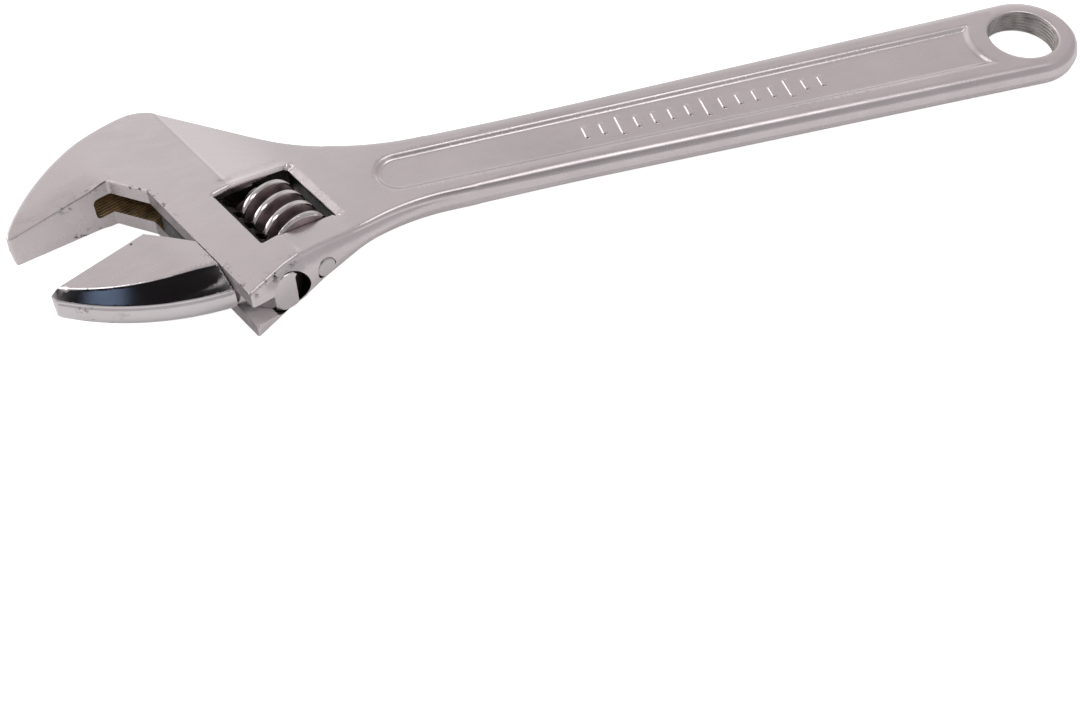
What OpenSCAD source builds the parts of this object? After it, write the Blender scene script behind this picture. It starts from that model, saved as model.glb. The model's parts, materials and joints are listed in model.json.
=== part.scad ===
// Adjustable wrench of the 300 mm size: a forged body with the fixed jaw, a jaw that slides in it
// on a toothed rod, the worm that drives the rod, the pin the worm turns on and its friction spring.
// The origin is the centre of the hang hole, halfway through the handle. +X runs from the jaws to
// the handle's end and +Z out of the face. Millimetres.
//
// The head is drawn in a frame of its own, in (u, v): its origin is the inner corner of the fixed
// jaw, u runs along the jaw faces towards the handle, and v from the fixed to the sliding jaw.

/* [Handle] */
// Distance from the hang hole to the inner corner of the fixed jaw, along the handle
reach = 259.6; // [215:0.2:330]
// Thickness of the handle
handle_t = 7.2; // [5:0.1:10]
// Width of the handle where it leaves the head
neck_w = 24.4; // [20:0.2:30]
// Width of the handle just before its round end
handle_w = 30.4; // [26:0.2:36]
// Radius of the round end
eye_r = 16.1; // [14:0.1:20]
// Radius of the hang hole
hole_r = 10.05; // [6:0.05:12]
// Radius of the handle's long edges
edge_r = 1.8; // [0.5:0.1:2.4]

/* [Recess] */
// Depth of the shallow recess in each face of the handle
recess_depth = 0.9; // [0.3:0.1:1.5]
// Width of the recess at its round end, near the head
recess_w = 13; // [8:0.5:18]
// Width of the recess at the hang hole
recess_end_w = 16.8; // [10:0.2:22]
// Rim left between the hang hole and the recess
recess_rim = 6.2; // [4:0.1:10]
// Number of raised bars in the recess
bars = 15; // [0:1:21]
// Distance from bar to bar
bar_pitch = 5; // [3:0.5:6]
// Height of the bars above the recess floor
bar_h = 0.4; // [0.2:0.1:0.8]

/* [Head] */
// Thickness of the head
head_t = 16; // [13:0.2:20]
// Angle between the jaw faces and the handle
jaw_angle = 22.5; // [15:0.5:25]
// Height of the fixed jaw's inner corner above the handle's axis
throat_y = 15.3; // [12:0.1:18]
// Depth of the jaws, from their tips to the slide face
jaw_depth = 34.4; // [28:0.2:40]
// Thickness of both jaws at the tips
tip_t = 10.3; // [8:0.1:12.8]
// How far the hexagon relief at the back of the jaws runs along u
relief = 5.9; // [4:0.1:8]
// Height of the head's slide face, from the fixed jaw to the lower lip
lip_v = 57.7; // [54:0.1:66]
// Distance of the thick band's end from the fixed jaw's corner, along u
band_u = 22.7; // [20:0.1:24]
// Length of the slope from the thick band down to the handle
slope_run = 17; // [12:0.5:22]
// Radius of the fixed jaw's curved back
back_r = 59; // [50:1:70]
// Radius of the rounded shoulder behind the fixed jaw
nose_r = 12; // [5:0.5:14]
// Radius of the hollow between the shoulder and the handle
hollow_r = 77; // [50:1:90]

/* [Sliding jaw] */
// Opening between the jaw faces
opening = 22.5; // [10:0.5:30]
// Radius of the sliding jaw's curved outer edge
blade_r = 68.9; // [60:0.5:80]
// Height of the sliding jaw at the slide face
blade_h = 27.7; // [24:0.1:30]
// Thickness of the sliding jaw's outer edge, between its bevels
blade_edge_t = 6.6; // [4:0.2:9]
// How far the bevel runs inward for each millimetre of its height
bevel_slope = 1.2; // [0.8:0.1:1.6]
// Thickness of the web between the sliding jaw and its rod
web_t = 6.5; // [4:0.1:8]
// Radius of the toothed rod
rod_r = 5.95; // [4.9:0.05:6.6]
// Distance of the rod's axis from the fixed jaw's corner, along u
rod_u = 17; // [16:0.1:18]
// Length of the rod past the sliding jaw's face, towards the fixed jaw
rod_above = 7.5; // [5:0.5:10]
// Length of the rod from the sliding jaw's face down to its toothed end
rod_below = 34; // [30:0.5:40]

/* [Worm] */
// Outer radius of the worm
worm_r = 9.2; // [8.6:0.1:11.2]
// How deep the worm's thread reaches into the rod's teeth
mesh_depth = 3.25; // [2:0.05:3.5]
// Advance of the thread in one turn, and pitch of the rod's teeth
lead = 5; // [4:0.25:6]
// Width of the thread at its crest
crest_w = 1.5; // [1:0.1:2]
// Width of the thread where it meets the worm's core
thread_w = 2.8; // [2.2:0.1:3.2]
// Length of the worm
worm_len = 18.5; // [14:0.5:20]
// Distance of the window's upper side from the fixed jaw's face, along v
window_v = 22.5; // [20:0.1:24]
// Gap between the worm and the window on both sides of it
window_gap = 1.85; // [0.5:0.05:2.2]
// Gap above the worm, which the friction spring bridges
spring_gap = 3.5; // [2:0.1:5]
// Radius of the pin the worm turns on
pin_r = 2.75; // [2:0.05:3.3]
// Length of the pin in the blind hole above the window
pin_blind = 8.5; // [5:0.5:10]
// Thickness of the spring's wire
wire = 0.9; // [0.6:0.1:1.1]
// Number of the spring's turns
spring_turns = 5.5; // [4:0.5:7]
// Depth of the pocket that holds the spring in the worm
pocket_depth = 7.5; // [5:0.5:10]

/* [Fits] */
// Gap all round between the rod and its bore
rod_fit = 0.1; // [0.05:0.01:0.2]
// Gap on each side of the web and behind the sliding jaw
slide_fit = 0.12; // [0.05:0.01:0.3]
// Gap all round between the worm and its pin
worm_fit = 0.08; // [0.03:0.01:0.1]
// Gap all round between the pin and the body
pin_fit = 0.03; // [0.01:0.01:0.1]
// Gap between the worm's thread and each flank of a tooth
tooth_fit = 0.3; // [0.15:0.05:0.4]
// Gap at the worm's seat and at each end of the spring
end_fit = 0.12; // [0.05:0.01:0.3]

/* [Hidden] */
$fn = 96;
past = 20;              // how far a cutter runs past the faces that it cuts
arc_step = 4;           // degrees between the points of a rounded corner

tip_u = relief - jaw_depth;
relief_v = relief / tan(30);                    // the throat fits a hexagon
blade_relief = [8.5, 11];                       // the sliding jaw's own relief, along u and v
lead_per_degree = lead / 360;
tip_back = [17.7, -19];                         // where the jaw's curved back meets its root, (u, v)
tip_land = 1.8;                                 // flat end of the fixed jaw's tip
root_land = 2.6;                                // from the band's end back to the shoulder
crease = 0.6;                                   // step down from the thick band to the slope
slope_foot = 3;                                 // how much sooner the slope would end if left sharp
slope_r = 40;                                   // radius that eases the slope into the handle
neck_run = 94;                                  // throat corner to the handle's straight sides
shoulder_run = 61.6;                            // and to the foot of the upper shoulder
heel_run = 69.8;                                // and to the foot of the lower one
heel_u = 20;                                    // where the lower side turns towards the handle
heel_drop = 0.4;                                // its height there, short of the lip's
heel_r = 30;
recess_run = 73.7;                              // and to the centre of the recess's round end
neck_x = neck_run - reach;
eye_x = -20;                                    // where the handle starts to widen into its end
recess_x = recess_run - reach;
recess_end_r = hole_r + recess_rim;
bar_w = 1.6;
bar_l = 5;
long_bar_l = 8;
bar_sink = 0.3;                                 // how far a bar starts below the recess floor
bars_x = -99;                                   // middle of the row of bars

worm_u = rod_u + rod_r + worm_r - mesh_depth;
tip_gap = 0.35;                                 // between the rod and the worm's core
root_gap = 0.4;                                 // between the thread's crest and the rod's gaps
worm_root_r = worm_r - mesh_depth - tip_gap;
worm_v = window_v + spring_gap;                 // the worm's upper end; the spring presses it down
window_end_v = worm_v + worm_len + end_fit;
window_half = worm_r + window_gap;
thread_v = 27.85;                               // a crest's place along v, on the worm's +u side
mesh_v = thread_v + lead / 2;                   // a crest's place on the side of the rod
tooth_root_u = worm_u - worm_r - root_gap;
bore_r = rod_r + rod_fit;
slot_w = web_t + 2 * slide_fit;
bore_past = 1.5;                                // what is left past the rod in the closed wrench
bore_end_v = -rod_above - bore_past;            // the bore's blind end
slot_u = -5;                                    // how far the slot is cut into the fixed jaw
pin_end_v = 55.6;                               // the pin's lower end, flush with the heel
pin_past = 0.5;                                 // what is left past the pin in its blind hole
ring_w = 0.5;                                   // the countersunk ring round the pin's end
ring_depth = 0.6;
pocket_wall = 1.15;                             // wall that the spring's pocket leaves in the worm
pocket_gap = 0.3;                               // between the spring and the pocket's wall
spring_r = (pin_r + worm_root_r - pocket_wall) / 2;
pocket_r = spring_r + wire / 2 + pocket_gap;

back_u = relief - slide_fit;                    // the sliding jaw's back, next to the slide face
turn_u = back_u + 19.9;                         // centre of the sliding jaw's outer edge
blade_tip_u = tip_u - 1.1;
tongue = [2, 1.5, 2.5];                         // how far the web reaches into the blade: u, v, v
web_cut = [7, 8];                               // the web's lower corner, cut off: u, v

// A head point (u, v) in the part's frame, with the radius of its corner
function head_corner(u, v, r) = [
    -reach + u * cos(jaw_angle) + v * sin(jaw_angle),
    throat_y + u * sin(jaw_angle) - v * cos(jaw_angle),
    r];

function flat(p) = [p.x, p.y];
function unit(p) = p / norm(p);

// The arc that rounds one corner [x, y, radius] between its neighbours
function corner_arc(before, at, after) =
    let (a = unit(flat(before) - flat(at)),
         b = unit(flat(after) - flat(at)),
         half = acos(a * b) / 2,
         centre = flat(at) + unit(a + b) * at.z / sin(half),
         from = flat(at) + a * at.z / tan(half) - centre,
         start = atan2(from.y, from.x),
         turn = (180 - 2 * half) * sign(b.x * a.y - b.y * a.x),
         steps = ceil(abs(turn) / arc_step))
    [for (k = [0:steps]) centre + at.z * [cos(start + turn * k / steps), sin(start + turn * k / steps)]];

// The outline through corners [x, y, radius], each rounded by its own radius
function rounded(corners) =
    let (n = len(corners))
    [for (k = [0:n - 1])
        each corners[k].z > 0
            ? corner_arc(corners[(k + n - 1) % n], corners[k], corners[(k + 1) % n])
            : [flat(corners[k])]];

// Puts what is drawn in (u, v, z) into the head
module at_head() {
    translate([-reach, throat_y, 0]) rotate(jaw_angle) mirror([0, 1, 0]) children();
}

// A cylinder of the head along v
module along_v(u, from, to, r) {
    translate([u, from, 0]) rotate([-90, 0, 0]) cylinder(h = to - from, r = r);
}

// A block of the head with its length along u and v, centred in the thickness
module block(u0, u1, v0, v1, t) {
    translate([u0, v0, -t / 2]) cube([u1 - u0, v1 - v0, t]);
}

// The head's thickness along u: thin at the jaw tips, thick in the band, sloping to the handle
module side_profile() {
    upper = [
        [tip_u - past, tip_t / 2 - past * (head_t - tip_t) / 2 / -tip_u, 0],
        [0, head_t / 2, 0],
        [band_u, head_t / 2, 0],
        [band_u, head_t / 2 - crease, 0],
        [band_u + slope_run - slope_foot, handle_t / 2, slope_r],
        [band_u + reach, handle_t / 2, 0]];
    edge = rounded(concat([[tip_u - past, 0, 0]], upper, [[band_u + reach, 0, 0]]));
    for (side = [0, 1]) mirror([0, side]) polygon(edge);
}

module within_thickness() {
    intersection() {
        children();
        translate([0, lip_v * 2, 0]) rotate([90, 0, 0]) linear_extrude(lip_v * 4) side_profile();
    }
}

// A disc with rounded edges, from which the handle is stretched
module soft_disc(r) {
    outline = rounded([
        [0, -handle_t / 2, 0],
        [r, -handle_t / 2, edge_r],
        [r, handle_t / 2, edge_r],
        [0, handle_t / 2, 0]]);
    rotate_extrude($fn = 32) polygon(outline);
}

module handle() {
    hull() {
        translate([neck_x, 0, 0]) soft_disc(neck_w / 2);
        translate([eye_x, 0, 0]) soft_disc(handle_w / 2);
    }
    hull() {
        translate([eye_x, 0, 0]) soft_disc(handle_w / 2);
        soft_disc(eye_r);
    }
}

// The head seen from above, from the fixed jaw's tip round to the handle's root and back
module head_plan() {
    polygon(rounded([
        head_corner(tip_u, 0, 0.4),
        head_corner(tip_u, -tip_land, 0.8),
        head_corner(tip_u + tip_back.x, tip_back.y, back_r),
        head_corner(band_u - root_land, tip_back.y, nose_r),
        [-reach + shoulder_run, neck_w / 2, hollow_r],
        [neck_x, neck_w / 2, 0],
        [neck_x, -neck_w / 2, 0],
        [-reach + heel_run, -neck_w / 2, hollow_r],
        head_corner(heel_u, lip_v - heel_drop, heel_r),
        head_corner(relief, lip_v, 0.6),
        head_corner(relief, relief_v, 0.5),
        head_corner(0, 0, 0.5)]));
}

module head() {
    intersection() {
        linear_extrude(head_t, center = true) head_plan();
        at_head() within_thickness() block(tip_u - past, reach, -lip_v, lip_v * 2, head_t);
    }
}

// One face's recess, cut down to its floor
module recess() {
    translate([0, 0, handle_t / 2 - recess_depth]) linear_extrude(past) difference() {
        polygon(rounded([
            [recess_x - recess_w / 2, recess_w / 2, recess_w / 2 - 0.1],
            [0, recess_end_w / 2, 0],
            [0, -recess_end_w / 2, 0],
            [recess_x - recess_w / 2, -recess_w / 2, recess_w / 2 - 0.1]]));
        circle(recess_end_r);
    }
}

// A plain row of raised bars on the recess floor, every fifth one longer
module bar_row() {
    for (k = [0:1:bars - 1]) {
        length = k % 5 == 2 ? long_bar_l : bar_l;
        translate([bars_x + (k - (bars - 1) / 2) * bar_pitch, 0, handle_t / 2 - recess_depth - bar_sink])
            linear_extrude(bar_h + bar_sink) square([bar_w, length], center = true);
    }
}

// Bore for the toothed rod, with the slot that its web slides in
module slideway() {
    along_v(rod_u, bore_end_v, lip_v + past, bore_r);
    block(slot_u, rod_u, bore_end_v, lip_v + past, slot_w);
}

module worm_seat() {
    block(worm_u - window_half, worm_u + window_half, window_v, window_end_v, head_t + past);
    along_v(worm_u, window_v - pin_blind - pin_past, lip_v + past, pin_r + pin_fit);
    along_v(worm_u, pin_end_v - ring_depth, lip_v + past, pin_r + ring_w);
}

module wrench_body() {
    color("gainsboro") {
        difference() {
            union() {
                handle();
                head();
            }
            cylinder(h = handle_t + past, r = hole_r, center = true);
            for (side = [0, 1]) mirror([0, 0, side]) recess();
            at_head() slideway();
            at_head() worm_seat();
        }
        for (side = [0, 1]) mirror([0, 0, side]) bar_row();
    }
}

// The blade of the sliding jaw, drawn from its own face (v = 0). Its curved outer edge is a run of
// narrow flats, and each carries its own stretch of the bevel.
module blade() {
    turn_v = blade_h - sqrt(blade_r * blade_r - pow(turn_u - back_u, 2));
    edge_z = blade_edge_t / 2;
    top_z = head_t / 2 + 1;
    flat_turn = 6;
    first_turn = 100;
    last_turn = 148;
    flat_r = blade_r * cos(flat_turn / 2);
    curve = [for (turn = [first_turn:flat_turn:last_turn])
        [turn_u, turn_v] + blade_r * [cos(turn), sin(turn)]];
    difference() {
        within_thickness() linear_extrude(head_t, center = true) intersection() {
            polygon([[blade_tip_u, 0], [back_u - blade_relief.x, 0], [back_u, blade_relief.y],
                     [back_u, blade_h + past], [blade_tip_u, blade_h + past]]);
            polygon(concat([[blade_tip_u - past, -past], [back_u + past, -past], [back_u + past, turn_v]],
                           curve));
        }
        for (side = [0, 1], turn = [first_turn:flat_turn:last_turn - flat_turn])
            mirror([0, 0, side]) translate([turn_u, turn_v, 0]) rotate([90, 0, turn + flat_turn / 2])
                linear_extrude(blade_r, center = true) polygon([
                    [flat_r, edge_z],
                    [flat_r + past, edge_z],
                    [flat_r + past, top_z],
                    [flat_r - bevel_slope * (top_z - edge_z), top_z]]);
    }
}

// The web that joins the blade to the rod, with its lower corner cut off
module web() {
    linear_extrude(web_t, center = true) polygon([
        [back_u, -rod_above],
        [rod_u, -rod_above],
        [rod_u, rod_below],
        [back_u + web_cut.x, rod_below],
        [back_u, rod_below - web_cut.y]]);
}

// One gap between two teeth of the rod, slanted as the worm's thread is
module tooth_gap(v) {
    mesh_r = worm_r - 0.6;      // where the thread and the teeth meet, from the worm's axis
    slant = atan(lead / (2 * PI * mesh_r));
    reach_u = rod_u + rod_r + 1;
    root = crest_w / 2 + tooth_fit;
    mouth = root + (reach_u - tooth_root_u) * (thread_w - crest_w) / 2 / (worm_r - worm_root_r);
    translate([0, v, 0]) rotate([slant, 0, 0]) linear_extrude(4 * rod_r, center = true)
        polygon([[tooth_root_u, -root], [reach_u, -mouth], [reach_u, mouth], [tooth_root_u, root]]);
}

module movable_jaw() {
    first_gap = ceil((opening - rod_above - mesh_v) / lead);
    last_gap = floor((opening + rod_below - mesh_v) / lead);
    color("silver") at_head() difference() {
        translate([0, opening, 0]) {
            blade();
            web();
            block(back_u - tongue.x, rod_u, blade_relief.y + tongue.y, blade_h - tongue.z, web_t);
            along_v(rod_u, -rod_above, rod_below, rod_r);
        }
        for (k = [first_gap:last_gap]) tooth_gap(mesh_v + k * lead);
    }
}

// The worm's thread as one ridge that winds round the core from one end past the other
module thread() {
    steps = 30;
    turns = ceil(worm_len / lead) + 2;
    first = floor((worm_v - thread_v) / lead) - 1;
    sink = 0.4;                 // how far the ridge starts inside the core
    rise = 0.2;                 // how far it is drawn past the worm's outer radius
    inner_r = worm_root_r - sink;
    inner_w = thread_w + (thread_w - crest_w) * sink / (worm_r - worm_root_r);
    section = [[inner_r, -inner_w / 2], [worm_r + rise, -crest_w / 2], [worm_r + rise, crest_w / 2],
               [inner_r, inner_w / 2]];
    count = steps * turns;
    points = [for (i = [0:count], p = section)
        let (angle = 360 * i / steps)
        [p.x * cos(angle), thread_v + first * lead + p.y + angle * lead_per_degree, p.x * sin(angle)]];
    faces = concat(
        [[0, 1, 2, 3]],
        [for (i = [0:count - 1], k = [0:3])
            let (a = 4 * i + k, b = 4 * i + (k + 1) % 4)
            each [[a, b + 4, b], [a, a + 4, b + 4]]],
        [[4 * count + 3, 4 * count + 2, 4 * count + 1, 4 * count]]);
    polyhedron(points, faces);
}

module worm() {
    color("lightsteelblue") at_head() translate([worm_u, 0, 0]) difference() {
        union() {
            along_v(0, worm_v, worm_v + worm_len, worm_root_r);
            intersection() {
                thread();
                along_v(0, worm_v, worm_v + worm_len, worm_r);
            }
        }
        along_v(0, worm_v - past, worm_v + worm_len + past, pin_r + worm_fit);
        along_v(0, worm_v - past, worm_v + pocket_depth, pocket_r);
    }
}

module worm_pin() {
    color("dimgray") at_head() along_v(worm_u, window_v - pin_blind, pin_end_v, pin_r);
}

// The friction spring: a coil on the pin, from the window's side into the worm's pocket
module worm_spring() {
    sides = 8;
    steps = 20;
    from = window_v + wire / 2 + end_fit;
    length = worm_v + pocket_depth - wire / 2 - end_fit - from;
    count = round(steps * spring_turns);
    points = [for (i = [0:count], k = [0:sides - 1])
        let (turn = 360 * i / steps, round_wire = 360 * k / sides,
             r = spring_r + wire / 2 * cos(round_wire))
        [worm_u + r * cos(turn), from + length * i / count + wire / 2 * sin(round_wire), r * sin(turn)]];
    faces = concat(
        [[for (k = [0:sides - 1]) k]],
        [for (i = [0:count - 1], k = [0:sides - 1])
            let (a = sides * i + k, b = sides * i + (k + 1) % sides)
            each [[a, b + sides, b], [a, a + sides, b + sides]]],
        [[for (k = [sides - 1:-1:0]) sides * count + k]]);
    color("gray") at_head() polyhedron(points, faces);
}

wrench_body();
movable_jaw();
worm();
worm_pin();
worm_spring();
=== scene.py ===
"""An adjustable wrench with satin chrome plate, lying on a pale table.

Shapes are worked out in millimetres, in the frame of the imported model, and become metres when a
mesh is made. The head has coordinates of its own: u runs along the jaw faces towards the handle
and v from the fixed jaw's face to the sliding jaw's, both from the fixed jaw's inner corner.
"""
import json
import math

import bmesh
import bpy
import numpy as np
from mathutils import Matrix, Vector
from mathutils.geometry import delaunay_2d_cdt


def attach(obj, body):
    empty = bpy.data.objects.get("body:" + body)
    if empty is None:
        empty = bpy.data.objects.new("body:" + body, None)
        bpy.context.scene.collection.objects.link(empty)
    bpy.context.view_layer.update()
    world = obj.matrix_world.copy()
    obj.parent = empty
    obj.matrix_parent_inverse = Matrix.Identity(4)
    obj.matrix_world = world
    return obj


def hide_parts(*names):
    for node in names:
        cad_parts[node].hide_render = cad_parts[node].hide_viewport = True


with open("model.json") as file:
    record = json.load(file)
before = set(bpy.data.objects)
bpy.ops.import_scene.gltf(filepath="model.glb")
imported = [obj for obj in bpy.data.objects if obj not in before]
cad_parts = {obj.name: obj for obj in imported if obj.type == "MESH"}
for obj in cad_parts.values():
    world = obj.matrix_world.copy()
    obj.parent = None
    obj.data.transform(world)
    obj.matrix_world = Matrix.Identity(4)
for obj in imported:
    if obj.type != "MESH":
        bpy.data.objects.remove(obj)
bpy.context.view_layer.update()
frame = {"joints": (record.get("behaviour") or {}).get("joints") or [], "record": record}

MM = 0.001

# ---------------------------------------------------------------- sizes, in millimetres

MOUNTS = {m["name"]: m for m in frame["record"]["mounts"]}
SLIDE = next(j for j in frame["joints"] if j["name"] == "jaw_slide")
V_AXIS = np.array(SLIDE["axis"][:2])
U_AXIS = np.array([-V_AXIS[1], V_AXIS[0]])
FACE_MIDDLE = 15.0          # where the jaw face mounts lie, along u from the corner
CORNER = np.array(MOUNTS["fixed_jaw_face"]["pos_m"][:2]) / MM + FACE_MIDDLE * U_AXIS
HOLE_R = MOUNTS["hang_hole"]["dims"]["r_mm"]
HANDLE_HALF = MOUNTS["hang_hole"]["dims"]["length_mm"] / 2
HEAD_HALF = -MOUNTS["head_rest_face"]["pos_m"][2] / MM
OPENING = float((np.array(MOUNTS["movable_jaw_face"]["pos_m"][:2]) / MM - CORNER) @ V_AXIS)

JAW_TAPER = 0.1             # each face of the jaws comes in by this much a millimetre
RELIEF_U = 5.9              # from the jaws' corner to the slide face, along u
RELIEF_V = RELIEF_U / math.tan(math.radians(30))
TIP_U = -28.5               # the fixed jaw's tip
LIP_V = 57.7                # the far end of the slide face
BAND_U = 22.7               # the crease where the head's thick band ends
EYE_R = 16.1                # the round end of the handle, about the hang hole
EYE_X = -20.0               # where the handle starts to round off towards it
HANDLE_END_HALF = 15.2
NECK_HALF = 12.2            # half the handle's width at its narrowest
NECK_X = CORNER[0] + 94

ROD_U = 17.0
ROD_R = 5.95
ROD_TOP = -7.5              # the rod's ends, from the sliding jaw's face
ROD_END = 33.7
SLOT_HALF = 3.37
SLOT_START_U = -5.0
SLOT_CORNER_R = 1.4
WEB_HALF = 3.25
WEB_CUT = (7.0, 8.0)         # the web's lower corner, cut off along u and v
BORE_END_V = -9.0           # the closed end of the rod's bore
WORM_U = 28.9
WORM_R = 9.2
WORM_ROOT_R = 5.6
WORM_V = 26.0
WORM_LEN = 18.5
LEAD = 5.0
THREAD_V = 27.85            # a crest's place along v, on the worm's +u side
CREST_HALF = 0.9            # half the thread's width along v at its crest
THREAD_HALF = 1.45          # and at its root
WINDOW_HALF = 11.05
WINDOW_V = (22.5, 44.62)
PIN_R = 2.75
PIN_V = (14.0, 55.6)
TOOTH_ROOT_U = WORM_U - WORM_R - 0.4


# ---------------------------------------------------------------- outlines and distances

def head_point(u, v):
    return CORNER + u * U_AXIS + v * V_AXIS


def head_uv(points):
    rel = np.asarray(points)[..., :2] - CORNER
    return rel @ U_AXIS, rel @ V_AXIS


def rounded(corners, step):
    """The points of an outline through corners (x, y, radius), about one step apart, with arcs."""
    corners = [np.array(c, float) for c in corners]
    path = []
    for k, at in enumerate(corners):
        before, after = corners[k - 1], corners[(k + 1) % len(corners)]
        if at[2] <= 0:
            path.append([at[:2]])
            continue
        a = (before - at)[:2] / np.linalg.norm((before - at)[:2])
        b = (after - at)[:2] / np.linalg.norm((after - at)[:2])
        half = math.acos(np.clip(a @ b, -1, 1)) / 2
        middle = (a + b) / np.linalg.norm(a + b)
        centre = at[:2] + middle * at[2] / math.sin(half)
        start = at[:2] + a * at[2] / math.tan(half) - centre
        turn = (math.pi - 2 * half) * np.sign(b[0] * a[1] - b[1] * a[0])
        count = max(3, math.ceil(abs(turn) * at[2] / step))
        angles = math.atan2(start[1], start[0]) + turn * np.linspace(0, 1, count + 1)
        path.append(centre + at[2] * np.stack([np.cos(angles), np.sin(angles)], -1))
    out = []
    for k, arc in enumerate(path):
        out.extend(arc)
        gap = path[(k + 1) % len(path)][0] - arc[-1]
        pieces = max(1, round(float(np.linalg.norm(gap)) / step))
        out.extend(arc[-1] + gap * i / pieces for i in range(1, pieces))
    return np.array(out)


def circle(centre, radius, step):
    count = max(16, round(2 * math.pi * radius / step))
    angles = np.arange(count) * 2 * math.pi / count
    return np.array(centre) + radius * np.stack([np.cos(angles), np.sin(angles)], -1)


def area(loop):
    x, y = loop.T
    return 0.5 * float(np.sum(x * np.roll(y, -1) - y * np.roll(x, -1)))


def inward(loop):
    """The direction into the outline at each of its points."""
    along = np.roll(loop, -1, 0) - np.roll(loop, 1, 0)
    along /= np.linalg.norm(along, axis=1)[:, None]
    return np.stack([-along[:, 1], along[:, 0]], -1) * np.sign(area(loop))


def distance(points, starts, ends):
    """Each point's distance to the nearest of many straight stretches, and which one it is."""
    best = np.full(len(points), np.inf)
    which = np.zeros(len(points), int)
    chunk = 4000
    span = ends - starts
    length2 = np.maximum((span ** 2).sum(1), 1e-12)
    for k in range(0, len(points), chunk):
        rel = points[k:k + chunk, None] - starts[None]
        t = np.clip((rel * span).sum(-1) / length2, 0, 1)
        d2 = ((rel - t[..., None] * span) ** 2).sum(-1)
        which[k:k + chunk] = d2.argmin(1)
        best[k:k + chunk] = np.sqrt(d2.min(1))
    return best, which


def inside(points, loop):
    """Whether each point is in the closed outline, by counting crossings."""
    x, y = points.T
    result = np.zeros(len(points), bool)
    for (x0, y0), (x1, y1) in zip(loop, np.roll(loop, -1, 0)):
        crosses = (y0 > y) != (y1 > y)
        if y0 != y1:
            result ^= crosses & (x < x0 + (y - y0) * (x1 - x0) / (y1 - y0))
    return result


def smoothstep(low, high, value):
    """Rises from 0 at low to 1 at high, or falls where high is the smaller."""
    t = np.clip((value - low) / (high - low), 0, 1)
    return t * t * (3 - 2 * t)


def soft_min(a, b, blend):
    """The lower of two heights, with their meeting rounded over about the blend."""
    h = np.clip(0.5 + 0.5 * (b - a) / blend, 0, 1)
    return b + (a - b) * h - blend * h * (1 - h)


# ---------------------------------------------------------------- plates with shaped faces

class Edge:
    """One closed boundary of a plate, with a rounding radius at each of its points. The side says
    where the plate is: 1 inside the boundary, -1 outside it, as round a hole."""

    def __init__(self, loop, radius, side=1):
        self.loop = loop
        self.side = side
        self.ends = np.roll(loop, -1, 0)
        self.radius = radius(loop)

    def drop(self, points):
        """How far the rounding lowers the face, and the distance to this boundary."""
        d, which = distance(points, self.loop, self.ends)
        r = self.radius[which]
        t = np.clip(1 - d / r, 0, 1)
        return r * (1 - np.sqrt(1 - t * t)), d

    def rows(self):
        """Points on lines along the boundary, closer together where the rounding is steep."""
        normal = inward(self.loop) * self.side
        for angle in np.radians([72, 54, 36, 18, 0, -20]):
            yield self.loop + normal * (self.radius * (1 - math.sin(angle)))[:, None]


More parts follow.
